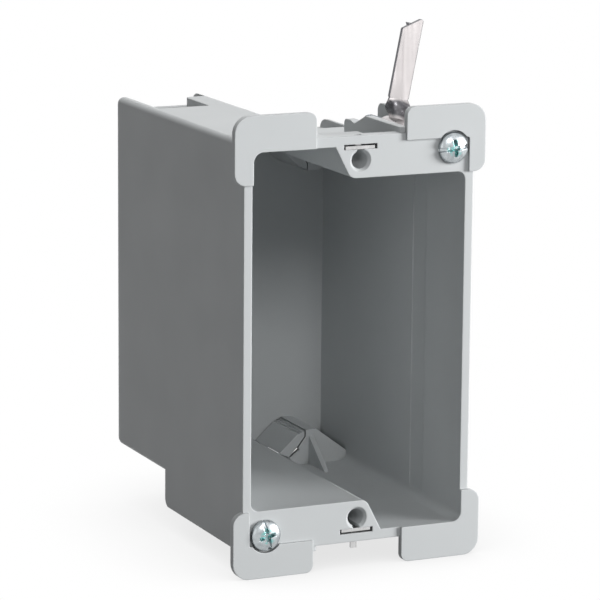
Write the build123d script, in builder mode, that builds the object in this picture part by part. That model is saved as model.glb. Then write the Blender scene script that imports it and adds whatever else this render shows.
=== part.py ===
from math import cos, radians, sin, sqrt
import os

from build123d import *

# One-gang old-work switch box, in millimetres.
# X to the right, Y into the wall, Z up. The origin lies midway between the two device screw
# holes, in the front plane of the flange. The moulding repeats itself half a turn round Y.

# Shell
device_pitch = 83.34
body_width = 57.2
end_above_hole = 5.63
body_depth = 80.3
side_wall = 2.0
end_wall = 2.3
back_wall = 2.7
rear_radius = 4.0
long_edge_radius = 1.3
inner_corner_radius = 2.0

# Bracket channel and the slanted step beside it
channel_depth = 8.3
channel_floor = 1.35
step_wall = 1.5
step_top_inner = 6.2
step_foot_inner = 2.4
crest_radius = 5.0
step_corner_radius = 2.2
skirt_length = 46.6
skirt_radius = 2.0

# Flange and ears
flange_thickness = 3.2
ear_proud = 0.8
ear_thickness = 1.6
ear_side_overhang = 2.65
ear_end_overhang = 6.0
ear_inner_end = 11.25
ear_leg_length = 9.7
ear_corner_radius = 4.0
ear_inner_radius = 2.3
ear_step_radius = 0.5
ear_end_radius = 1.9
ear_leg_radius = 2.8
screw_ear_lap = 0.5
screw_ear_drop = 1.6

# Boss of the device screw, with the slot for its clip
device_hole_radius = 2.0
device_bevel = 0.6
boss_half_width = 5.2
boss_length = 13.0
boss_drop = 1.1
slot_width = 8.3
slot_height = 1.2
slot_above_hole = 3.1
keyhole_neck = 1.7

# Steel clip in that slot
clip_thickness = 0.8
clip_side_gap = 0.5
clip_length = 11.0
clip_recess = 0.25
lance_rise = 0.45
lance_front = 5.0
lance_length = 3.0
lance_width = 3.0
clip_tail_width = 1.4
clip_tail_gap = 0.2
clip_tail_front = 1.3
upper_tail_length = 1.7
lower_tail_length = 5.0

# Clamp screw
screw_side_gap = 3.5
screw_drop = 4.0
screw_radius = 1.7
screw_length = 45.8
screw_tip = 2.0
screw_tip_radius = 0.9
head_radius = 3.6
head_height = 2.1
head_rim = 0.6
head_gap = 0.1
driver_width = 0.9
driver_depth = 1.0
cross_length = 3.8
screw_hole_clearance = 0.08
head_relief_clearance = 0.5

# Swing bracket of sheet steel, measured from the screw's axis while it points straight up
sheet = 0.9
thread_fit = 0.06
sleeve_front = 21.5
sleeve_length = 12.5
seam_gap = 0.7
neck_foot_front = 24.4
neck_foot_length = 8.6
neck_top_width = 4.6
neck_top_thickness = 0.6
neck_sections = 4
blade_y = 30.9
blade_root = 7.0
blade_inner_edge = -2.5
blade_width = 5.1
blade_short_side = 23.7
blade_long_side = 27.0
blade_corner_radius = 0.6
tooth_edge = -0.8
tooth_width = 1.2
tooth_length = 1.6
tooth_height = 1.5
deployed_lean = 11.3

# Guide rib between the screw and the middle of the channel
rib_x = 10.0
rib_thickness = 2.0
rib_proud = 1.3
rib_crest_end = 18.7
rib_dip_drop = 2.5
rib_dip_y = 24.7
rib_bump_rise = 0.5
rib_bump_y = 26.8
rib_end = 30.2
rib_end_radius = 1.3

# Cable clamps, with heights counted from the end wall that they stand on
clamp_front = 62.3
clamp_wall = 1.2
ridge_inner = 15.5
ridge_outer = 18.3
ridge_height = 8.7
ridge_depth = 1.8
roof_low_height = 2.5
roof_thickness = 1.3
front_wall_foot = 13.4
front_wall_toe = 11.1
front_wall_toe_height = 1.8
slit_step_x = 13.3
slit_step_height = 4.1
slit_notch = 0.6
slit_notch_drop = 0.2
sill_width = 1.9
sill_height = 1.5
gusset_thickness = 1.2
gusset_foot = 52.7
gusset_top_height = 7.2

# Clamp flap on its corrugated living hinge
flap_edge_x = 8.4
flap_edge_height = 3.3
flap_shoulder_x = 13.3
flap_shoulder_height = 7.7
flap_thickness = 1.7
flap_gap = 0.35
corrugation_radius = 0.28
corrugation_count = 3

# Cable windows in the rear of the end walls, and the shallow band inside the side walls
window_inner = 13.4
window_back_drop = 1.0
tongue_length = 8.0
rear_cut_inner = 8.0
tongue_radius = 1.8
recess_front = 56.0
recess_depth = 1.2
band_front = 19.5
band_width = 7.0
band_depth = 0.2

# Worked out from the sizes above
half_width = body_width / 2
inner_half_width = half_width - side_wall
screw_x = inner_half_width - screw_side_gap
device_z = device_pitch / 2
body_half_height = device_z + end_above_hole
tall_inside = body_half_height - end_wall
channel_outside = body_half_height - channel_depth
channel_inside = channel_outside - channel_floor
inner_depth = body_depth - back_wall
slot_z = device_z + slot_above_hole
boss_crest = body_half_height - boss_drop
screw_z = body_half_height - screw_drop
ear_half_width = half_width + ear_side_overhang
ear_half_height = body_half_height + ear_end_overhang
ear_leg_end = body_half_height - ear_leg_length
screw_ear_side = screw_x + head_radius + screw_ear_lap
screw_ear_edge = body_half_height - screw_ear_drop
rib_crest = body_half_height + rib_proud
rib_dip = rib_crest - rib_dip_drop
rib_bump = rib_dip + rib_bump_rise
above_all = body_half_height + 2 * ear_end_overhang
step_slope = (step_top_inner - step_foot_inner) / (tall_inside - channel_inside)
step_shift = step_wall * sqrt(1 + step_slope**2)
window_front = clamp_front + clamp_wall
tongue_end = window_front + tongue_length
bite = 0.4


def step_x(height, shift=0.0):
    """Where the slanted step of the upper end lies at a given height."""
    return shift - step_foot_inner - step_slope * (height - channel_inside)


def behind(y):
    """The front view plane at a given depth. A negative extrusion from it goes deeper."""
    return Plane.XZ.offset(-y)


def half_turn(points):
    """Points of the upper end, followed by the same points half a turn round Y."""
    return points + [(-x, -z) for x, z in points]


def slab(x_range, y_range, z_range):
    """Plain block between the given limits, for cuts."""
    x0, x1 = sorted(x_range)
    y0, y1 = y_range
    z0, z1 = z_range
    centre = ((x0 + x1) / 2, (y0 + y1) / 2, (z0 + z1) / 2)
    with BuildPart() as block:
        with Locations(centre):
            Box(x1 - x0, y1 - y0, z1 - z0)
    return block.part


# The cavity and the outside of the shell are two sections carried through the depth
with BuildPart() as cavity:
    with BuildSketch(Plane.XZ):
        Polygon(
            *half_turn([
                (-inner_half_width, tall_inside),
                (step_x(tall_inside), tall_inside),
                (step_x(channel_inside), channel_inside),
                (inner_half_width, channel_inside),
            ]),
            align=None,
        )
    extrude(amount=-inner_depth)
    step_feet = cavity.edges().filter_by(Axis.Y).sort_by(lambda edge: abs(edge.center().X))[:2]
    fillet(step_feet, step_corner_radius)
    side_corners = cavity.edges().filter_by(Axis.Y).filter_by(
        lambda edge: abs(edge.center().X) > inner_half_width - bite
        and abs(edge.center().Z) > channel_inside - bite
    )
    fillet(side_corners, inner_corner_radius)

with BuildPart() as shell:
    with BuildSketch(Plane.XZ):
        Polygon(
            *half_turn([
                (-half_width, body_half_height),
                (step_x(body_half_height, step_shift), body_half_height),
                (step_x(channel_outside, step_shift), channel_outside),
                (half_width, channel_outside),
            ]),
            align=None,
        )
    extrude(amount=-body_depth)
    crests = shell.edges().filter_by(Axis.Y).filter_by(
        lambda edge: abs(edge.center().Z) > tall_inside and abs(edge.center().X) < screw_x
    )
    fillet(crests, crest_radius)
    corners = shell.edges().filter_by(Axis.Y).filter_by(lambda edge: abs(edge.center().X) > screw_x)
    fillet(corners, long_edge_radius)
    fillet(shell.faces().sort_by(Axis.Y)[-1].edges(), rear_radius)


def ear(side, edge, direction, inner_radius):
    """L-shaped ear round one upper corner. Its inner edges lie at the given side and height."""
    with BuildPart() as plate:
        with BuildSketch(behind(-ear_proud)) as outline:
            Polygon(
                (direction * ear_inner_end, edge),
                (direction * ear_inner_end, ear_half_height),
                (direction * ear_half_width, ear_half_height),
                (direction * ear_half_width, ear_leg_end),
                (direction * side, ear_leg_end),
                (direction * side, edge),
                align=None,
            )
            inner_corner = outline.vertices().filter_by(
                lambda v: abs(abs(v.X) - side) < bite and abs(v.Y - edge) < bite
            )
            fillet(inner_corner, inner_radius)
            fillet(outline.vertices().sort_by(lambda v: abs(v.X) + v.Y)[-1], ear_corner_radius)
            fillet(outline.vertices().sort_by(lambda v: abs(v.X) - v.Y)[-1], ear_leg_radius)
            fillet(outline.vertices().sort_by(lambda v: v.Y - abs(v.X))[-1], ear_end_radius)
        extrude(amount=-ear_thickness)
    return plate.part


def guide_rib(end):
    """Rib beside the screw. It keeps the bracket upright as it is drawn forwards."""
    with BuildPart() as rib:
        with BuildSketch(Plane.YZ.offset(rib_x)) as profile:
            Polygon(
                (bite, channel_inside + bite),
                (bite, rib_crest),
                (rib_crest_end, rib_crest),
                (rib_dip_y, rib_dip),
                (rib_bump_y, rib_bump),
                (rib_end, rib_bump),
                (rib_end, channel_inside + bite),
                align=None,
            )
            tops = profile.vertices().filter_by(lambda v: v.Y > rib_dip - bite)
            fillet(tops.sort_by(lambda v: v.X)[-1], rib_end_radius)
        extrude(amount=rib_thickness)
        if end < rib_end:
            split(bisect_by=Plane.XZ.offset(-end), keep=Keep.TOP)
    return rib.part


def clamp_outline(points, side, floor):
    """Clamp points given as distance from the middle and height, hung from the upper end wall."""
    return [(side * x, floor - height) for x, height in points]


def clamp_seat(side, floor):
    """Fixed part of one cable clamp: front wall, ridge, sloping roof and gusset."""
    wall_side = inner_half_width + bite
    roof_slope = (ridge_height - roof_low_height) / (inner_half_width - ridge_outer)
    roof_drop = roof_thickness * sqrt(1 + roof_slope**2)
    with BuildPart() as seat:
        with BuildSketch(behind(clamp_front)):
            Polygon(
                *clamp_outline([
                    (front_wall_foot, -bite),
                    (wall_side, -bite),
                    (wall_side, roof_low_height),
                    (inner_half_width, roof_low_height),
                    (ridge_outer, ridge_height),
                    (ridge_inner, ridge_height),
                    (ridge_inner, ridge_height - ridge_depth),
                    (slit_step_x, slit_step_height),
                    (slit_step_x + slit_notch, slit_step_height - slit_notch_drop),
                    (front_wall_toe, front_wall_toe_height),
                ], side, floor),
                align=None,
            )
        extrude(amount=-clamp_wall)
        with BuildSketch(behind(clamp_front)):
            Polygon(
                *clamp_outline([
                    (ridge_inner, ridge_height),
                    (ridge_outer, ridge_height),
                    (inner_half_width, roof_low_height),
                    (wall_side, roof_low_height),
                    (wall_side, roof_low_height - roof_drop),
                    (inner_half_width, roof_low_height - roof_drop),
                    (ridge_outer, ridge_height - roof_drop),
                    (ridge_inner, ridge_height - ridge_depth),
                ], side, floor),
                align=None,
            )
        extrude(amount=-(inner_depth - clamp_front + bite))
        gusset_x = (ridge_inner + ridge_outer) / 2
        with BuildSketch(Plane.YZ.offset(side * gusset_x)):
            Polygon(
                (gusset_foot, floor + bite),
                (gusset_foot, floor),
                (clamp_front, floor - gusset_top_height),
                (clamp_front + bite, floor - gusset_top_height),
                (clamp_front + bite, floor + bite),
                align=None,
            )
        extrude(amount=gusset_thickness / 2, both=True)
        # Low sill along the inner edge of the window
        sill_side = (side * window_inner, side * (window_inner - sill_width))
        add(slab(sill_side, (clamp_front, tongue_end - tongue_radius),
                 (floor - sill_height, floor + bite)))
    return seat.part


def cable_window(side, floor):
    """What is cut from the rear of an end wall, so that a cable reaches the clamp behind it.

    A tongue of the wall stays beside the window, and behind the tongue the cut is wider."""
    past_back = body_depth + back_wall
    with BuildPart() as opening:
        with BuildSketch(Plane.XY.offset(floor - window_back_drop)) as plan:
            Polygon(
                (side * inner_half_width, window_front),
                (side * window_inner, window_front),
                (side * window_inner, tongue_end),
                (side * rear_cut_inner, tongue_end),
                (side * rear_cut_inner, past_back),
                (side * inner_half_width, past_back),
                align=None,
            )
            fillet(
                plan.vertices().filter_by(
                    lambda v: abs(v.Y - tongue_end) < bite and abs(v.X) > window_inner - bite
                ),
                tongue_radius,
            )
        extrude(amount=above_all - floor)
    return opening.part


# Everything that stands at the upper end. The lower end has the same, half a turn round Y.
with BuildPart() as flange_end:
    with BuildSketch(behind(0)):
        # The plate starts left of the crest, which it fills out to a full corner
        crest_start = step_x(tall_inside) - crest_radius
        Polygon(
            (crest_start, tall_inside),
            (crest_start, body_half_height),
            (half_width, body_half_height),
            (half_width, channel_inside),
            (step_x(channel_inside), channel_inside),
            align=None,
        )
    extrude(amount=-flange_thickness)
    with BuildSketch(Plane.YZ.offset(inner_half_width)):
        Polygon(
            (0, channel_inside),
            (0, body_half_height),
            (skirt_length, body_half_height),
            (skirt_length, channel_inside),
            align=None,
        )
    extrude(amount=side_wall)
    skirt_corner = flange_end.edges().filter_by(Axis.X).filter_by(
        lambda edge: edge.center().Y > skirt_length - bite and edge.center().Z > channel_outside
    )
    fillet(skirt_corner, skirt_radius)
    with BuildSketch(behind(0)):
        Polygon(
            (-boss_half_width, boss_crest),
            (boss_half_width, boss_crest),
            (boss_half_width, channel_inside),
            (step_x(channel_inside), channel_inside),
            (step_x(tall_inside), tall_inside),
            (-boss_half_width, tall_inside),
            align=None,
        )
    extrude(amount=-boss_length)
    add(ear(inner_half_width, tall_inside, -1, ear_inner_radius))
    add(ear(screw_ear_side, screw_ear_edge, 1, ear_step_radius))

with BuildPart() as end_holes:
    # Device screw hole with a bevelled mouth, its keyhole neck and the clip slot
    with BuildSketch(behind(-bite)):
        with Locations((0, device_z)):
            Circle(device_hole_radius)
        with Locations((0, device_z + slot_above_hole / 2)):
            Rectangle(keyhole_neck, slot_above_hole)
        with Locations((0, slot_z)):
            Rectangle(slot_width, slot_height)
    extrude(amount=-(boss_length + 2 * bite))
    with BuildSketch(behind(0)):
        with Locations((0, device_z)):
            Circle(device_hole_radius + device_bevel)
    extrude(amount=-device_bevel, taper=45)
    # Narrow pocket that lets the clip's tail out at the flange's edge
    notch_half = clip_tail_width / 2 + clip_tail_gap
    tail_back = clip_tail_front + clip_thickness
    add(slab((-notch_half, notch_half), (clip_tail_front - clip_tail_gap, tail_back + clip_tail_gap),
             (slot_z, above_all)))
    # Clamp screw hole and the relief round its head
    with BuildSketch(behind(-bite)):
        with Locations((screw_x, screw_z)):
            Circle(screw_radius + screw_hole_clearance)
    extrude(amount=-(flange_thickness + 2 * bite))
    with BuildSketch(behind(-ear_thickness)):
        with Locations((screw_x, screw_z)):
            Circle(head_radius + head_relief_clearance)
    extrude(amount=-ear_thickness)
    add(cable_window(-1, tall_inside))
    add(cable_window(1, channel_inside))
    add(slab((-window_inner, -inner_half_width), (recess_front, window_front + bite),
             (body_half_height - recess_depth, above_all)))

upper_clamps = [(-1, tall_inside), (1, channel_inside)]

with BuildPart() as box:
    add(shell.part)
    for turn, rib_length in ((0, rib_end), (180, boss_length)):
        add(flange_end.part.rotate(Axis.Y, turn))
        add(guide_rib(rib_length).rotate(Axis.Y, turn))
    add(cavity.part, mode=Mode.SUBTRACT)
    for turn in (0, 180):
        for side, floor in upper_clamps:
            add(clamp_seat(side, floor).rotate(Axis.Y, turn))
        add(end_holes.part.rotate(Axis.Y, turn), mode=Mode.SUBTRACT)
    band_limits = (band_front, band_front + band_width)
    for side in (-1, 1):
        band_faces = (side * (inner_half_width - bite), side * (inner_half_width + band_depth))
        band_low, band_high = sorted((-side * tall_inside, side * channel_inside))
        levels = (band_low + inner_corner_radius, band_high - inner_corner_radius)
        add(slab(band_faces, band_limits, levels), mode=Mode.SUBTRACT)
box.part.label = "box"


def cable_flap(side, floor):
    """Clamp flap: a slanted plate with a corrugated strip that bends beside the ridge."""
    hinge_end = ridge_inner - flap_gap
    strip = hinge_end - flap_shoulder_x
    strip_rise = ridge_height - flap_shoulder_height
    clear = flap_gap / sqrt(2)
    with BuildPart() as flap:
        with BuildSketch(behind(clamp_front)):
            Polygon(
                *clamp_outline([
                    (flap_edge_x, flap_edge_height),
                    (flap_shoulder_x, flap_shoulder_height),
                    (hinge_end, ridge_height),
                    (hinge_end, ridge_height - flap_thickness),
                    (slit_step_x - clear, slit_step_height + clear),
                    (front_wall_toe - clear, front_wall_toe_height + clear),
                ], side, floor),
                align=None,
            )
            for number in range(corrugation_count):
                share = (number + 0.5) / corrugation_count
                groove = (flap_shoulder_x + share * strip, flap_shoulder_height + share * strip_rise)
                with Locations(clamp_outline([groove], side, floor)[0]):
                    Circle(corrugation_radius, mode=Mode.SUBTRACT)
        extrude(amount=-(inner_depth - flap_gap - clamp_front))
    return flap.part


flaps = {
    "cable_flap_upper_left": cable_flap(-1, tall_inside),
    "cable_flap_upper_right": cable_flap(1, channel_inside),
    "cable_flap_lower_right": cable_flap(-1, tall_inside).rotate(Axis.Y, 180),
    "cable_flap_lower_left": cable_flap(1, channel_inside).rotate(Axis.Y, 180),
}


def device_clip(tail_length):
    """Steel strip in the slot, with a tail bent out through the notch."""
    clip_width = slot_width - 2 * clip_side_gap
    clip_foot = slot_z - slot_height / 2
    clip_top = clip_foot + clip_thickness
    with BuildPart() as clip:
        with BuildSketch(behind(clip_recess)):
            with Locations((0, clip_foot + clip_thickness / 2)):
                Rectangle(clip_width, clip_thickness)
        extrude(amount=-clip_length)
        fillet(clip.edges().filter_by(Axis.Z).sort_by(Axis.Y)[-2:], clip_thickness)
        with BuildSketch(behind(clip_tail_front)):
            with Locations((0, clip_foot + tail_length / 2)):
                Rectangle(clip_tail_width, tail_length)
        extrude(amount=-clip_thickness)
        # Sprung lance that wedges the strip against the roof of the slot
        with BuildSketch(Plane.YZ):
            Polygon(
                (lance_front, clip_top - clip_thickness / 2),
                (lance_front, clip_top + lance_rise),
                (lance_front + lance_length, clip_top),
                (lance_front + lance_length, clip_top - clip_thickness / 2),
                align=None,
            )
        extrude(amount=lance_width / 2, both=True)
    return clip.part


with BuildPart() as clamp_screw:
    # Domed head and shank in one revolved profile, drawn straight up in the plane of the axis
    with BuildSketch(Plane.YZ.offset(screw_x)):
        with BuildLine():
            seat_y = -head_gap
            crown_y = seat_y - head_height
            rim_y = seat_y - head_rim
            Line((crown_y, screw_z), (crown_y, screw_z + head_radius / 3))
            SagittaArc((crown_y, screw_z + head_radius / 3), (rim_y, screw_z + head_radius), 0.35)
            Line((rim_y, screw_z + head_radius), (seat_y, screw_z + head_radius))
            Line((seat_y, screw_z + head_radius), (seat_y, screw_z + screw_radius))
            shank_end = screw_length - screw_tip
            Line((seat_y, screw_z + screw_radius), (shank_end, screw_z + screw_radius))
            Line((shank_end, screw_z + screw_radius), (screw_length, screw_z + screw_tip_radius))
            Line((screw_length, screw_z + screw_tip_radius), (screw_length, screw_z))
            Line((screw_length, screw_z), (crown_y, screw_z))
        make_face()
    revolve(axis=Axis((screw_x, 0, screw_z), (0, 1, 0)))
    # Driver recess: a slot right across and a short bar square to it
    with BuildSketch(behind(-head_gap - head_height)):
        with Locations((screw_x, screw_z)):
            Rectangle(driver_width, 2 * head_radius)
            Rectangle(cross_length, driver_width)
    extrude(amount=-driver_depth, mode=Mode.SUBTRACT)


lean = radians(deployed_lean)
across = Vector(cos(lean), 0, -sin(lean))
upwards = Vector(sin(lean), 0, cos(lean))
inwards = Vector(0, 1, 0)


def bracket_view(y):
    """Front view plane centred on the screw and leant over as far as the deployed bracket."""
    return Plane(origin=(screw_x, y, screw_z), x_dir=across, z_dir=(0, -1, 0))


def bracket_side_view(distance):
    """Side view of the leant bracket: depth to the right, distance from the screw upwards."""
    centre = Vector(screw_x, 0, screw_z) + across * distance
    return Plane(origin=centre, x_dir=inwards, z_dir=across)


bore_radius = screw_radius + thread_fit
sleeve_radius = bore_radius + sheet
neck_foot = sleeve_radius - sheet / 2
foot_middle = neck_foot_front + neck_foot_length / 2
blade_middle = blade_y + sheet / 2
blade_centre = blade_inner_edge + blade_width / 2

with BuildPart() as clamp_bracket:
    # Blade that stands across the depth, with its slanted tip
    with BuildSketch(bracket_view(blade_y)) as blade:
        Polygon(
            (blade_inner_edge, blade_root),
            (blade_inner_edge, blade_short_side),
            (blade_inner_edge + blade_width, blade_long_side),
            (blade_inner_edge + blade_width, blade_root),
            align=None,
        )
        fillet(blade.vertices(), blade_corner_radius)
    extrude(amount=-sheet)
    # Neck: the strip twists from along the screw at its foot to across the depth at the blade
    for number in range(neck_sections + 1):
        share = number / neck_sections
        turn = radians(45) * (1 + cos(radians(180) * share))
        centre = (
            Vector(screw_x, foot_middle + share * (blade_middle - foot_middle), screw_z)
            + upwards * (neck_foot + share * (blade_root + bite - neck_foot))
            + across * (share * blade_centre)
        )
        width = neck_foot_length + share * (neck_top_width - neck_foot_length)
        thickness = sheet + share * (neck_top_thickness - sheet)
        long_way = across * cos(turn) - inwards * sin(turn)
        with BuildSketch(Plane(origin=centre, x_dir=long_way, z_dir=upwards)):
            Rectangle(width, thickness)
    loft()
    # Sleeve rolled round the screw, with its seam underneath
    with BuildSketch(bracket_view(sleeve_front)):
        Circle(sleeve_radius)
    extrude(amount=-sleeve_length)
    with BuildSketch(bracket_view(sleeve_front - bite)):
        Circle(bore_radius)
        with Locations((0, -neck_foot)):
            Rectangle(seam_gap, 2 * sheet)
    extrude(amount=-(sleeve_length + 2 * bite), mode=Mode.SUBTRACT)
    # Tooth bent back from the blade's tip
    tip_level = blade_short_side + tooth_height
    with BuildSketch(bracket_side_view(tooth_edge)):
        Polygon(
            (blade_y, tip_level - tooth_height),
            (blade_y + sheet, tip_level - tooth_height),
            (blade_y + sheet + tooth_length, tip_level),
            (blade_y + sheet, tip_level),
            align=None,
        )
    extrude(amount=tooth_width)


# Finished pieces, each with its own label
pieces = {"box": box.part}
pieces.update(flaps)
pieces["device_clip_upper"] = device_clip(upper_tail_length)
pieces["device_clip_lower"] = device_clip(lower_tail_length).rotate(Axis.Y, 180)
pieces["clamp_screw_upper"] = clamp_screw.part
pieces["clamp_screw_lower"] = clamp_screw.part.rotate(Axis.Y, 180)
pieces["clamp_bracket_upper"] = clamp_bracket.part
# The lower bracket is stowed: folded over into its channel
stowed_turn = 180 - 90 - deployed_lean
pieces["clamp_bracket_lower"] = clamp_bracket.part.rotate(
    Axis((screw_x, 0, screw_z), (0, 1, 0)), stowed_turn - 180
).rotate(Axis.Y, 180)

os.makedirs("parts", exist_ok=True)
for name, piece in pieces.items():
    piece.label = name
    export_step(piece, f"parts/{name}.step")
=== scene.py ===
# %% [markdown]
# # Old-work switch box
#
# The real box is one grey PVC moulding with small steel pieces on it. The structure comes
# packed from the CAD model, so this lesson is about its looks: what each surface is made of,
# how its pattern is scaled from real millimetres, and how the threaded screws are worked out
# as numpy surfaces.

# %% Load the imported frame
import bpy
import numpy as np
from mathutils import Matrix, Vector


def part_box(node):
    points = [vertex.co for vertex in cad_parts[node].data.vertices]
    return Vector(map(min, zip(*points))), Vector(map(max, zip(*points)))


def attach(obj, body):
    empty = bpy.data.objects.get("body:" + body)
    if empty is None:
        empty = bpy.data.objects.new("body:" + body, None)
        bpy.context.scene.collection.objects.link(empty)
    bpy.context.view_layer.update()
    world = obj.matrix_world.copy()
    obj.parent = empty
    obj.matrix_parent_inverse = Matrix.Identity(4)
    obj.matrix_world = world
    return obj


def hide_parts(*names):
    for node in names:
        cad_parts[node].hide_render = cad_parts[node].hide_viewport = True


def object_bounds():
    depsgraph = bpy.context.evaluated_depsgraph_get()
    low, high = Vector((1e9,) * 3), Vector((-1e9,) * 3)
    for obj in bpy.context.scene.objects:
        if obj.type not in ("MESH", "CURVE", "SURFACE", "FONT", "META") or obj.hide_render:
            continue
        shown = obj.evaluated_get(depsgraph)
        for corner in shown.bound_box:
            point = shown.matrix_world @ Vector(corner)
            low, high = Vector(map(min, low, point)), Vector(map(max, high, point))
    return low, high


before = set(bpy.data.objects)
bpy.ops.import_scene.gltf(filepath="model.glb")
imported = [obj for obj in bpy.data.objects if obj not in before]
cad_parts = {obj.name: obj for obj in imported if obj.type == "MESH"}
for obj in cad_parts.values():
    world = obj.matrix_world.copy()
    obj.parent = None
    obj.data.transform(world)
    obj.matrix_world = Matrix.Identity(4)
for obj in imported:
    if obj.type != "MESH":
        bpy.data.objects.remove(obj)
cad_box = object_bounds()
MM = 0.001

# %% [markdown]
# Colours are written as the sRGB hex values that a painter would pick off a swatch. The
# shaders work in linear light, so one function converts them and every material uses it. Nodes
# could each be added by hand, but one small function keeps a material down to its choices.


# %% Colour and node helpers
def linear(hex_value):
    """Linear RGBA of an sRGB hex value: below 0.04045 divide by 12.92, above it apply the
    2.4 power curve."""
    code = np.array([int(hex_value[i:i + 2], 16) for i in (0, 2, 4)]) / 255
    curve = np.where(code <= 0.04045, code / 12.92, ((code + 0.055) / 1.055) ** 2.4)
    return (*curve.tolist(), 1.0)


def node(tree, kind, settings=None, inputs=None):
    """Add a shader node. Settings are its own properties. Inputs go by name or number, and
    each is a value, a hex colour, or another node's output to link."""
    added = tree.nodes.new(kind)
    for name, value in (settings or {}).items():
        setattr(added, name, value)
    for key, value in (inputs or {}).items():
        if isinstance(value, bpy.types.NodeSocket):
            tree.links.new(value, added.inputs[key])
        else:
            added.inputs[key].default_value = linear(value) if isinstance(value, str) else value
    return added


def new_material(name):
    """An empty node material and its node tree, ready for a shader."""
    material = bpy.data.materials.new(name)
    material.use_nodes = True
    material.node_tree.nodes.clear()
    return material, material.node_tree


COLOUR_MIX = {"data_type": "RGBA"}
FIRST, SECOND, MIXED = 6, 7, 2  # the Mix node's colour sockets, which share their names
print("light grey in linear light", [round(c, 3) for c in linear("c8caca")])

# %% [markdown]
# Real edges are never perfectly sharp: a mould leaves a small radius and a punch rolls the
# sheet over. The Bevel node gives the normal that such a rounded edge would have. Where it
# leans away from the true normal there is a rim. The moulding's rims get a painted highlight
# there, and the sheet's rims are darker. A rim mask could be painted by hand, but this finds
# every rim of every piece.


# %% Rims
def rim(tree, radius_mm):
    """1 on a rim and 0 on a flat side. The dot product of the Bevel normal and the true normal
    is 1 where they agree. From 0.99 down to 0.80 it fades into a rim."""
    true_normal = node(tree, "ShaderNodeNewGeometry").outputs["True Normal"]
    rounded = node(tree, "ShaderNodeBevel", {"samples": 8}, {"Radius": radius_mm * MM})
    agree = node(tree, "ShaderNodeVectorMath", {"operation": "DOT_PRODUCT"}, {
        0: true_normal, 1: rounded.outputs["Normal"]})
    return node(tree, "ShaderNodeMapRange", inputs={
        "Value": agree.outputs["Value"], "From Min": 0.80, "From Max": 0.99,
        "To Min": 1.0, "To Max": 0.0}).outputs["Result"]


print("a rim fades in between dot products 0.99 and 0.80")

# %% [markdown]
# The moulding is rigid PVC in light grey. It comes out of a spark-eroded mould, so its skin is
# satin with a very fine grain, a little uneven where the melt flowed. The grain of the real one
# is about 0.1 mm, too fine for this picture, so it is drawn at 0.5 mm. The rims are painted
# lighter as a highlight, and creases that little light reaches are painted darker as shade,
# which the Ambient Occlusion node finds. Image textures would be another way, but procedural
# noise in Object coordinates keeps its size on every piece.


# %% Moulded PVC
def moulded_pvc(name, base, shade, rim_highlight, crease_shade):
    """Satin rigid PVC: the base colour clouds towards a second tone, rims get a painted highlight
    and creases a painted shade, and a fine grain lifts the skin."""
    material, tree = new_material(name)
    place = node(tree, "ShaderNodeTexCoord").outputs["Object"]
    cloud = node(tree, "ShaderNodeTexNoise", inputs={
        "Vector": place, "Scale": 1 / (14 * MM), "Detail": 3.0}).outputs["Fac"]
    clouded = node(tree, "ShaderNodeMix", COLOUR_MIX, {
        "Factor": cloud, FIRST: base, SECOND: shade})
    # Painted highlight: rims are mixed 60 percent of the way to a lighter grey.
    rim_highlight_share = node(tree, "ShaderNodeMath", {"operation": "MULTIPLY"}, {0: rim(tree, 0.5), 1: 0.6})
    with_rim_highlight = node(tree, "ShaderNodeMix", COLOUR_MIX, {
        "Factor": rim_highlight_share.outputs[0], FIRST: clouded.outputs[MIXED], SECOND: rim_highlight})
    # Painted shade: creases that Ambient Occlusion finds within 3 mm are mixed towards dark grey.
    open_to_light = node(tree, "ShaderNodeAmbientOcclusion", {"samples": 8}, {
        "Distance": 3 * MM})
    crease_shade_share = node(tree, "ShaderNodeMapRange", inputs={
        "Value": open_to_light.outputs["AO"], "From Min": 0.10, "From Max": 0.50,
        "To Min": 1.0, "To Max": 0.0})
    colour = node(tree, "ShaderNodeMix", COLOUR_MIX, {
        "Factor": crease_shade_share.outputs["Result"], FIRST: with_rim_highlight.outputs[MIXED], SECOND: crease_shade})
    grain = node(tree, "ShaderNodeTexNoise", inputs={
        "Vector": place, "Scale": 1 / (0.5 * MM), "Detail": 2.0})
    round_edge = node(tree, "ShaderNodeBevel", {"samples": 4}, {"Radius": 0.35 * MM})
    skin = node(tree, "ShaderNodeBump", inputs={
        "Height": grain.outputs["Fac"], "Strength": 0.08, "Distance": 0.03 * MM,
        "Normal": round_edge.outputs["Normal"]})
    shine = node(tree, "ShaderNodeMapRange", inputs={
        "Value": cloud, "To Min": 0.40, "To Max": 0.52})
    surface = node(tree, "ShaderNodeBsdfPrincipled", inputs={
        "Base Color": colour.outputs[MIXED], "Roughness": shine.outputs["Result"],
        "IOR": 1.52, "Specular IOR Level": 0.3, "Normal": skin.outputs["Normal"]})
    node(tree, "ShaderNodeOutputMaterial", inputs={"Surface": surface.outputs["BSDF"]})
    return material


# dcdfe0 is the painted rim highlight and 6a6c6d the painted crease shade.
pvc = moulded_pvc("rigid_pvc_moulded_satin", "c3c6c7", "bec1c2", "dcdfe0", "6a6c6d")
print("made", pvc.name)

# %% [markdown]
# The brackets are stamped from zinc-plated steel sheet, and the screws are zinc-plated wire
# steel with a clear passivation. Both are metals: the colour sits in the reflection, and the
# roughness makes the difference. The clips are bright cold-rolled strip. Some finishes change
# with the distance from the clamp screw, so that distance is worked out first. It could be
# painted as a mask, but a formula follows the screw when a size of the box changes.


# %% Distance from the clamp screw's axis
AXIS_X, AXIS_Z = (np.array(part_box("clamp_screw_upper")).mean(0) / MM)[[0, 2]].tolist()


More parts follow.
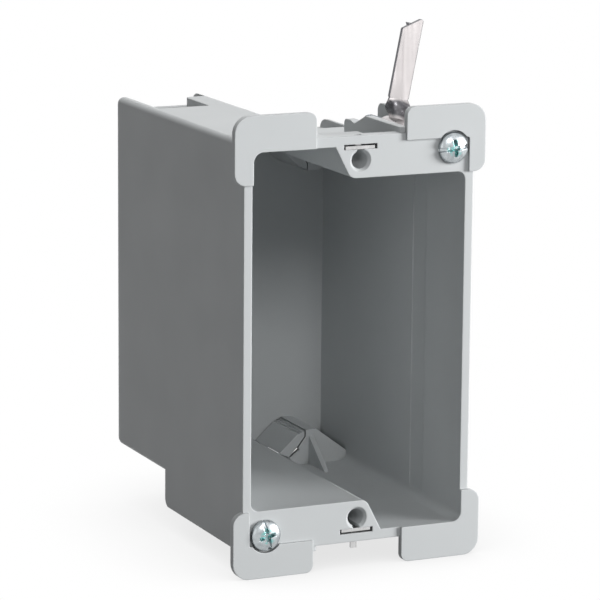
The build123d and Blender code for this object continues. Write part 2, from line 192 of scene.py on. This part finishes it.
def from_axis(tree, place):
    """Distance from the screw's axis: the root of (|x| - axis x)^2 + (|z| - axis z)^2. Half a
    turn round Y only changes signs, so one formula serves the upper and the lower piece."""
    folded = node(tree, "ShaderNodeVectorMath", {"operation": "ABSOLUTE"}, {0: place})
    offset = node(tree, "ShaderNodeVectorMath", {"operation": "SUBTRACT"}, {
        0: folded.outputs["Vector"], 1: (AXIS_X * MM, 0, AXIS_Z * MM)})
    across = node(tree, "ShaderNodeVectorMath", {"operation": "MULTIPLY"}, {
        0: offset.outputs["Vector"], 1: (1, 0, 1)})
    return node(tree, "ShaderNodeVectorMath", {"operation": "LENGTH"}, {
        0: across.outputs["Vector"]}).outputs["Value"]


def between(tree, value, start, end, soft):
    """1 between two lengths in millimetres, and 0 outside: a smooth rise at the start times a
    smooth fall at the end."""
    rise, fall = (node(tree, "ShaderNodeMapRange", {"interpolation_type": "SMOOTHSTEP"}, {
        "Value": value, "From Min": (border - soft) * MM, "From Max": (border + soft) * MM,
        "To Min": before, "To Max": 1.0 - before})
        for border, before in ((start, 0.0), (end, 1.0)))
    return node(tree, "ShaderNodeMath", {"operation": "MULTIPLY"}, {
        0: rise.outputs["Result"], 1: fall.outputs["Result"]}).outputs[0]


print("screw axis at mm", round(AXIS_X, 2), round(AXIS_Z, 2))

# %% [markdown]
# Rolling and drawing leave fine streaks on steel, and plating follows them. The real ones are
# a few hundredths of a millimetre wide, so they are drawn at 0.4 to 1.2 mm to show. One
# function makes every metal here, because they differ only in tone and polish. Its colour comes
# in as a function of the place, since a stamped sheet or a screw head isn't one colour all over.


# %% Streaked metal
STREAK_SQUASH = 0.06  # scale along Z, so a streak is about 17 times as long as it is wide


def metal(name, tone_of, smooth, rough, streak_mm, relief):
    """Bare or plated metal with fine streaks along Z. tone_of gives its colour from the tree
    and the place. Roughness and bump follow the streaks, and Bevel rounds the edges."""
    material, tree = new_material(name)
    place = node(tree, "ShaderNodeTexCoord").outputs["Object"]
    stretch = node(tree, "ShaderNodeMapping", inputs={
        "Vector": place, "Scale": (1, 1, STREAK_SQUASH)})
    streak = node(tree, "ShaderNodeTexNoise", inputs={
        "Vector": stretch.outputs["Vector"], "Scale": 1 / (streak_mm * MM), "Detail": 2.0})
    gloss = node(tree, "ShaderNodeMapRange", inputs={
        "Value": streak.outputs["Fac"], "From Min": 0.3, "From Max": 0.7,
        "To Min": smooth, "To Max": rough})
    round_edge = node(tree, "ShaderNodeBevel", {"samples": 4}, {"Radius": 0.10 * MM})
    scratch = node(tree, "ShaderNodeBump", inputs={
        "Height": streak.outputs["Fac"], "Strength": relief, "Distance": 0.02 * MM,
        "Normal": round_edge.outputs["Normal"]})
    surface = node(tree, "ShaderNodeBsdfPrincipled", inputs={
        "Base Color": tone_of(tree, place), "Metallic": 1.0,
        "Roughness": gloss.outputs["Result"], "Normal": scratch.outputs["Normal"]})
    node(tree, "ShaderNodeOutputMaterial", inputs={"Surface": surface.outputs["BSDF"]})
    return material


def patches(tree, place, first, second, size_mm):
    """Soft patches of two tones."""
    cloud = node(tree, "ShaderNodeTexNoise", inputs={
        "Vector": place, "Scale": 1 / (size_mm * MM), "Detail": 4.0})
    return node(tree, "ShaderNodeMix", COLOUR_MIX, {
        "Factor": cloud.outputs["Fac"], FIRST: first, SECOND: second}).outputs[MIXED]


print("metal streaks are stretched along Z by", round(1 / STREAK_SQUASH, 1))

# %% [markdown]
# The sheet is stamped after it is plated, so its cut edges are darker bare steel. They are the
# faces that look across the depth, and the Geometry node's true normal tells them apart from
# the flat sides. The rim that the punch rolls over is darker too. The neck is drawn darker and
# streaky; it lies between 3 and 7 mm from the screw's axis. The heads keep a blue-green tint
# of the clear passivation where it pooled in the driver recess, and the rolled threads are
# darker and oily. The clips are plain bright strip.


# %% Plated steels
def sheet_tone(tree, place):
    """Plated sheet, darker and streaky on its neck, with dark cut edges beyond the neck."""
    away = from_axis(tree, place)
    with_neck = node(tree, "ShaderNodeMix", COLOUR_MIX, {
        "Factor": between(tree, away, 3.3, 6.8, 0.35),
        FIRST: patches(tree, place, "c8c3c3", "b5b1b1", 4.0),
        SECOND: patches(tree, place, "8c8b8e", "3f3e42", 0.8)})
    true_normal = node(tree, "ShaderNodeNewGeometry").outputs["True Normal"]
    normal = node(tree, "ShaderNodeSeparateXYZ", inputs={"Vector": true_normal})
    depthwise = node(tree, "ShaderNodeMath", {"operation": "ABSOLUTE"}, {
        0: normal.outputs["Y"]})
    sideways = node(tree, "ShaderNodeMath", {"operation": "LESS_THAN"}, {
        0: depthwise.outputs[0], 1: 0.6})
    edge = node(tree, "ShaderNodeMath", {"operation": "MAXIMUM"}, {
        0: sideways.outputs[0], 1: rim(tree, 0.45)})
    cut = node(tree, "ShaderNodeMath", {"operation": "MULTIPLY"}, {
        0: edge.outputs[0], 1: between(tree, away, 7.0, 90.0, 0.2)})
    return node(tree, "ShaderNodeMix", COLOUR_MIX, {
        "Factor": cut.outputs[0], FIRST: with_neck.outputs[MIXED],
        SECOND: "5c5c60"}).outputs[MIXED]


def head_tone(tree, place):
    """Passivated zinc, with blue-green patches inside the recess."""
    cloud = node(tree, "ShaderNodeTexNoise", inputs={
        "Vector": place, "Scale": 1 / (0.9 * MM), "Detail": 3.0})
    spots = node(tree, "ShaderNodeMapRange", inputs={
        "Value": cloud.outputs["Fac"], "From Min": 0.42, "From Max": 0.58})
    pooled = node(tree, "ShaderNodeMath", {"operation": "MULTIPLY"}, {
        0: spots.outputs["Result"], 1: between(tree, from_axis(tree, place), -5.0, 1.8, 0.4)})
    return node(tree, "ShaderNodeMix", COLOUR_MIX, {
        "Factor": pooled.outputs[0], FIRST: patches(tree, place, "d2d7d9", "858c90", 1.1),
        SECOND: "85bcba"}).outputs[MIXED]


def thread_tone(tree, place):
    """Oily rolled steel."""
    return patches(tree, place, "8b8f92", "63676a", 1.0)


def strip_tone(tree, place):
    """Bright cold-rolled steel."""
    return patches(tree, place, "d2d2d2", "b4b4b4", 3.0)


zinc_sheet = metal("steel_sheet_zinc_plated", sheet_tone, 0.26, 0.36, 1.2, 0.03)
zinc_head = metal("steel_screw_head_zinc_passivated", head_tone, 0.22, 0.34, 0.6, 0.05)
rolled_thread = metal("steel_thread_rolled_oily", thread_tone, 0.28, 0.40, 0.4, 0.05)
strip_steel = metal("steel_strip_cold_rolled_bright", strip_tone, 0.20, 0.30, 0.5, 0.05)
print("made", zinc_sheet.name, zinc_head.name, rolled_thread.name, strip_steel.name)

# %% [markdown]
# The box, its clamp flaps, the clips and the brackets come complete from the CAD model, and the
# Bevel nodes above add the last small radii. Every CAD node keeps its own mesh and place, and
# only its material slots are filled.

# %% Dress the CAD nodes
finishes = {"box": pvc, "cable_flap": pvc, "device_clip": strip_steel,
            "clamp_screw": rolled_thread, "clamp_bracket": zinc_sheet}
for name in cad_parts:
    finish = next(value for key, value in finishes.items() if name.startswith(key))
    for slot in bpy.data.objects[name].material_slots:
        slot.material = finish
    print(name, "->", finish.name)

# %% [markdown]
# The clamp screws are taken to be No. 6-32 machine screws: a pan head with a slot and a short
# cross, and a rolled thread with 32 turns to the inch, 0.79 mm each. The CAD screws have a plain
# shank, so these pieces take their place. Head and shank could be modelled and their thread
# wrapped on with a Screw modifier, but a thread is a simple function: the radius depends only on
# how far round and how far along a point lies. Worked out as a grid, it needs no joining.


# %% Screw sizes in millimetres, and the mesh of a turned surface
HEAD_RADIUS, HEAD_HEIGHT, HEAD_RIM, HEAD_SEAT = 3.6, 2.1, 0.6, -0.1
RIM_BULGE, RIM_BEVEL_TOP, RIM_BEVEL_FOOT = 0.02, 0.08, 0.10
SLOT_HALF_WIDTH, SLOT_DEPTH = 0.42, 0.85
CROSS_HALF_WIDTH, CROSS_DEPTH, CROSS_REACH, CROSS_SLOPE = 0.40, 1.4, 2.1, 1.5
SHANK_RADIUS, THREAD_ROOT, THREAD_PITCH = 1.7, 1.36, 25.4 / 32
ROOT_SHARE, FLANK_SHARE = 0.15, 0.6  # of half a turn, and the rest is crest
SHANK_SUNK, SHANK_END, TIP_LENGTH, TIP_RADIUS = 0.3, 45.8, 2.0, 0.9


def turned_faces(rows, columns, first):
    """Quads between neighbouring rings of a grid, closed round its columns, and a fan of
    triangles at each pole. Vertex numbers start at first, and the two poles come last."""
    ring = np.arange(rows * columns).reshape(rows, columns) + first
    beside = np.roll(ring, -1, axis=1)
    quads = np.stack([ring[:-1], beside[:-1], beside[1:], ring[1:]], axis=-1).reshape(-1, 4)
    start, end = first + rows * columns, first + rows * columns + 1
    opening = np.stack([np.full(columns, start), beside[0], ring[0]], axis=-1)
    closing = np.stack([np.full(columns, end), ring[-1], beside[-1]], axis=-1)
    return quads.tolist() + opening.tolist() + closing.tolist()


def turned_points(radius, along, angle):
    """Points round the Y axis: x = radius * sin(angle), z = radius * cos(angle), y = along.
    The mean of the first ring and the mean of the last ring close the poles."""
    grid = np.stack([radius * np.sin(angle), along, radius * np.cos(angle)], axis=-1)
    return np.concatenate([grid.reshape(-1, 3), [grid[0].mean(0)], [grid[-1].mean(0)]])


print("thread turns", round((SHANK_END - HEAD_SEAT) / THREAD_PITCH, 1))

# %% [markdown]
# A header punches the head and its recess in one blow, which leaves soft borders. The recess
# could be cut out with a Boolean, but that leaves sharp borders and long thin faces. Here the
# dome is a height over the disc, and the recess is taken off that height.


# %% Head with its driver recess
def soft_step(distance, width=0.10):
    """0 below -width, 1 above +width, and the smooth cubic 3t^2 - 2t^3 between them."""
    t = np.clip((distance + width) / (2 * width), 0, 1)
    return t * t * (3 - 2 * t)


def screw_head(turned):
    """Pan head. The dome is rim height plus crown times the root of 1 - (r / R)^2. From it the
    recess is taken: a slot right across, and a cross that tapers towards its ends. The last
    five rings go down the rim and close the underside."""
    dome_rings, columns = 76, 240
    r = np.concatenate([np.linspace(0.03, 1, dome_rings) * HEAD_RADIUS,
                        [HEAD_RADIUS + RIM_BULGE] * 2, [HEAD_RADIUS, 2.5, 1.0]])
    angle = np.linspace(0, 2 * np.pi, columns, endpoint=False)
    radius, angle = np.meshgrid(r, angle, indexing="ij")
    crown = HEAD_HEIGHT - HEAD_RIM
    dome = crown * (1 - np.clip(radius / HEAD_RADIUS, 0, 1) ** 2) ** 0.5
    a, b = radius * np.sin(angle - turned), radius * np.cos(angle - turned)
    across, longest = np.minimum(abs(a), abs(b)), np.maximum(abs(a), abs(b))
    slot = SLOT_DEPTH * soft_step(SLOT_HALF_WIDTH - abs(a))
    taper = np.clip(CROSS_SLOPE * (CROSS_REACH - longest), 0, CROSS_DEPTH)
    cross = taper * soft_step(CROSS_HALF_WIDTH - across)
    along = HEAD_SEAT - HEAD_RIM - dome + np.maximum(slot, cross)
    underside = HEAD_SEAT - np.array([HEAD_RIM - RIM_BEVEL_TOP, RIM_BEVEL_FOOT, 0, 0, 0])
    along[dome_rings:] = underside[:, None]
    return turned_points(radius, along, angle), turned_faces(*radius.shape, 0)


points, faces = screw_head(0.0)
print("head", len(points), "points", len(faces), "faces")

# %% [markdown]
# The thread is rolled: straight flanks between a flat root and a flat crest, which smooth
# shading softens as wear would. Ten rings to a turn are enough for that shape at the distance
# of the camera. The tip narrows over its last 2 mm, so that it finds the bracket's thread.


# %% Threaded shank
def screw_shank(first):
    """Threaded shank. The phase is y / pitch + angle / 360 degrees. Its fraction climbs the
    flank, crosses a flat crest and falls again, and scales the radius from root to crest."""
    rows, columns = 580, 40
    y = np.linspace(HEAD_SEAT - SHANK_SUNK, SHANK_END, rows)
    angle = np.linspace(0, 2 * np.pi, columns, endpoint=False)
    along, angle = np.meshgrid(y, angle, indexing="ij")
    fraction = (along / THREAD_PITCH + angle / (2 * np.pi)) % 1
    height = np.clip((1 - abs(2 * fraction - 1) - ROOT_SHARE) / FLANK_SHARE, 0, 1)
    taper = np.clip((SHANK_END - along) / TIP_LENGTH, 0, 1)
    crest = TIP_RADIUS + (SHANK_RADIUS - TIP_RADIUS) * taper
    radius = np.minimum(crest, THREAD_ROOT + (SHANK_RADIUS - THREAD_ROOT) * height)
    return turned_points(radius, along, angle), turned_faces(rows, columns, first)


points, faces = screw_shank(0)
print("shank", len(points), "points", len(faces), "faces")

# %% [markdown]
# Both screws are alike, but they were driven to different angles. In the photograph the upper
# slot lies nearly level and the lower one stands nearly upright. Each new screw rides on the
# body of the CAD screw that it replaces, so it turns with the joint.


# %% Put both screws in the place of the CAD nodes
def clamp_screw(node_name, turned):
    """Head and shank moved to the axis of the CAD screw, which is the middle of its box."""
    low, high = np.array(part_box(node_name)) / MM
    head_points, head_faces = screw_head(turned)
    shank_points, shank_faces = screw_shank(len(head_points))
    points = np.concatenate([head_points, shank_points])
    points[:, [0, 2]] += ((low + high) / 2)[[0, 2]]
    mesh = bpy.data.meshes.new(node_name + "_threaded")
    mesh.from_pydata((points * MM).tolist(), [], head_faces + shank_faces)
    mesh.polygons.foreach_set("use_smooth", np.ones(len(mesh.polygons), dtype=bool))
    mesh.materials.append(zinc_head)
    mesh.materials.append(rolled_thread)
    finish = np.repeat([0, 1], [len(head_faces), len(shank_faces)]).astype(np.int32)
    mesh.polygons.foreach_set("material_index", finish)
    piece = bpy.data.objects.new(node_name + "_threaded", mesh)
    bpy.context.collection.objects.link(piece)
    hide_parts(node_name)
    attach(piece, node_name)
    print(piece.name, "faces", len(mesh.polygons), "at mm", np.round((low + high)[[0, 2]] / 2, 1))


clamp_screw("clamp_screw_upper", np.radians(84))
clamp_screw("clamp_screw_lower", np.radians(-14))

# %% [markdown]
# The camera stands where the photographer's did. Its angles and distance come from the known
# 83.34 mm pitch of the device screws and the corners of the flange.

# %% Camera
azimuth, elevation, roll = np.radians([-24.48, 11.49, 0.47])
distance, shift_right, shift_up = 771.62 * MM, -13.35 * MM, 9.33 * MM
back = np.array([np.sin(azimuth) * np.cos(elevation), -np.cos(azimuth) * np.cos(elevation),
                 np.sin(elevation)])
level = np.cross((0, 0, 1), back)
level = level / np.linalg.norm(level)
upright = np.cross(back, level)
right = np.cos(roll) * level + np.sin(roll) * upright
up = np.cos(roll) * upright - np.sin(roll) * level
camera_data = bpy.data.cameras.new("camera")
camera_data.lens = 203.03
camera_data.sensor_width = 36.0
camera = bpy.data.objects.new("camera", camera_data)
bpy.context.collection.objects.link(camera)
stand = back * distance + right * shift_right + up * shift_up
camera.matrix_world = Matrix((
    (right[0], up[0], back[0], stand[0]), (right[1], up[1], back[1], stand[1]),
    (right[2], up[2], back[2], stand[2]), (0, 0, 0, 1)))
bpy.context.scene.camera = camera
print("camera at mm", np.round(stand / MM, 1))

# %% [markdown]
# The photograph is lit by a large source on the right, low enough to skim across the open front:
# the front faces are bright, while the inside and the left wall stay dark. A weaker lamp above
# the camera reaches the lower half of the back wall, one from above and behind lights the top,
# and a faint one on the left lifts the left wall. All are square area lamps, because their size
# sets how soft a shadow edge is. A lamp's power is worked out from the level wanted on a face
# that looks straight at it: at level 1 a colour renders as it is written.


# %% Lamps
def soft_light(name, turn, rise, distance, size, level):
    """Square lamp aimed at the box from an azimuth and elevation in degrees, with its distance
    and size in mm. A matt face that looks at it receives power / (pi * distance squared), and
    pi of that is level 1."""
    turn, rise = np.radians([turn, rise])
    toward = Vector((np.sin(turn) * np.cos(rise), -np.cos(turn) * np.cos(rise), np.sin(rise)))
    lamp_data = bpy.data.lights.new(name, "AREA")
    lamp_data.size = size * MM
    lamp_data.energy = level * (np.pi * distance * MM) ** 2
    lamp = bpy.data.objects.new(name, lamp_data)
    bpy.context.collection.objects.link(lamp)
    aim = toward.to_track_quat("Z", "Y").to_matrix().to_4x4()
    lamp.matrix_world = Matrix.Translation(toward * (distance * MM)) @ aim
    print(name, "power", round(lamp_data.energy, 1))


soft_light("key_right", 58, 5, 1500, 750, 1.96)
soft_light("fill_above_camera", -2, 30, 1000, 260, 0.27)
soft_light("top_behind", 165, 66, 1000, 500, 0.62)
soft_light("left_bounce", -62, 8, 1000, 600, 0.07)

# %% [markdown]
# The background is pure white. More light would wash the box out, so the floor and the world
# are white only to the camera, to reflections and to anything seen through: the Light Path node
# tells those rays from the ones that carry light between surfaces. The floor keeps a soft
# shadow where the box covers part of the sky above it.


# %% White background
def seen_directly(tree):
    """1 for camera, glossy and transmission rays, otherwise 0: the highest of the three."""
    path = node(tree, "ShaderNodeLightPath")
    seen = path.outputs["Is Camera Ray"]
    for ray in ("Is Glossy Ray", "Is Transmission Ray"):
        seen = node(tree, "ShaderNodeMath", {"operation": "MAXIMUM"}, {
            0: seen, 1: path.outputs[ray]}).outputs[0]
    return seen


world = bpy.data.worlds.new("studio")
bpy.context.scene.world = world
world.use_nodes = True
sky = world.node_tree
sky.nodes.clear()
room = node(sky, "ShaderNodeBackground", inputs={"Color": "ffffff", "Strength": 0.05})
white = node(sky, "ShaderNodeBackground", inputs={"Color": "ffffff", "Strength": 1.0})
sky_mix = node(sky, "ShaderNodeMixShader", inputs={
    "Fac": seen_directly(sky), 1: room.outputs[0], 2: white.outputs[0]})
node(sky, "ShaderNodeOutputWorld", inputs={"Surface": sky_mix.outputs[0]})
print("world", world.name)

# %% [markdown]
# To light, the floor is mid-grey paper, so that it throws little back at the underside of the
# ears. It touches the lowest point of the box.

# %% Floor
floor_material, ground = new_material("paper_floor_white")
paper = node(ground, "ShaderNodeBsdfDiffuse", inputs={"Color": "7c7e80"})
open_sky = node(ground, "ShaderNodeAmbientOcclusion", {"samples": 16}, {"Distance": 40 * MM})
shadow = node(ground, "ShaderNodeMapRange", inputs={
    "Value": open_sky.outputs["AO"], "From Max": 0.9, "To Min": 0.75, "To Max": 1.0})
glow = node(ground, "ShaderNodeEmission", inputs={
    "Color": "ffffff", "Strength": shadow.outputs["Result"]})
ground_mix = node(ground, "ShaderNodeMixShader", inputs={
    "Fac": seen_directly(ground), 1: paper.outputs[0], 2: glow.outputs[0]})
node(ground, "ShaderNodeOutputMaterial", inputs={"Surface": ground_mix.outputs[0]})

floor_level = cad_box[0][2]
reach = 1500 * MM
floor_mesh = bpy.data.meshes.new("floor")
floor_mesh.from_pydata([(-reach, -reach, floor_level), (reach, -reach, floor_level),
                        (reach, reach, floor_level), (-reach, reach, floor_level)], [],
                       [(0, 1, 2, 3)])
floor = bpy.data.objects.new("floor", floor_mesh)
bpy.context.collection.objects.link(floor)
floor.data.materials.append(floor_material)
bpy.context.scene.view_settings.view_transform = "Standard"
print("floor at mm", round(floor_level / MM, 2))
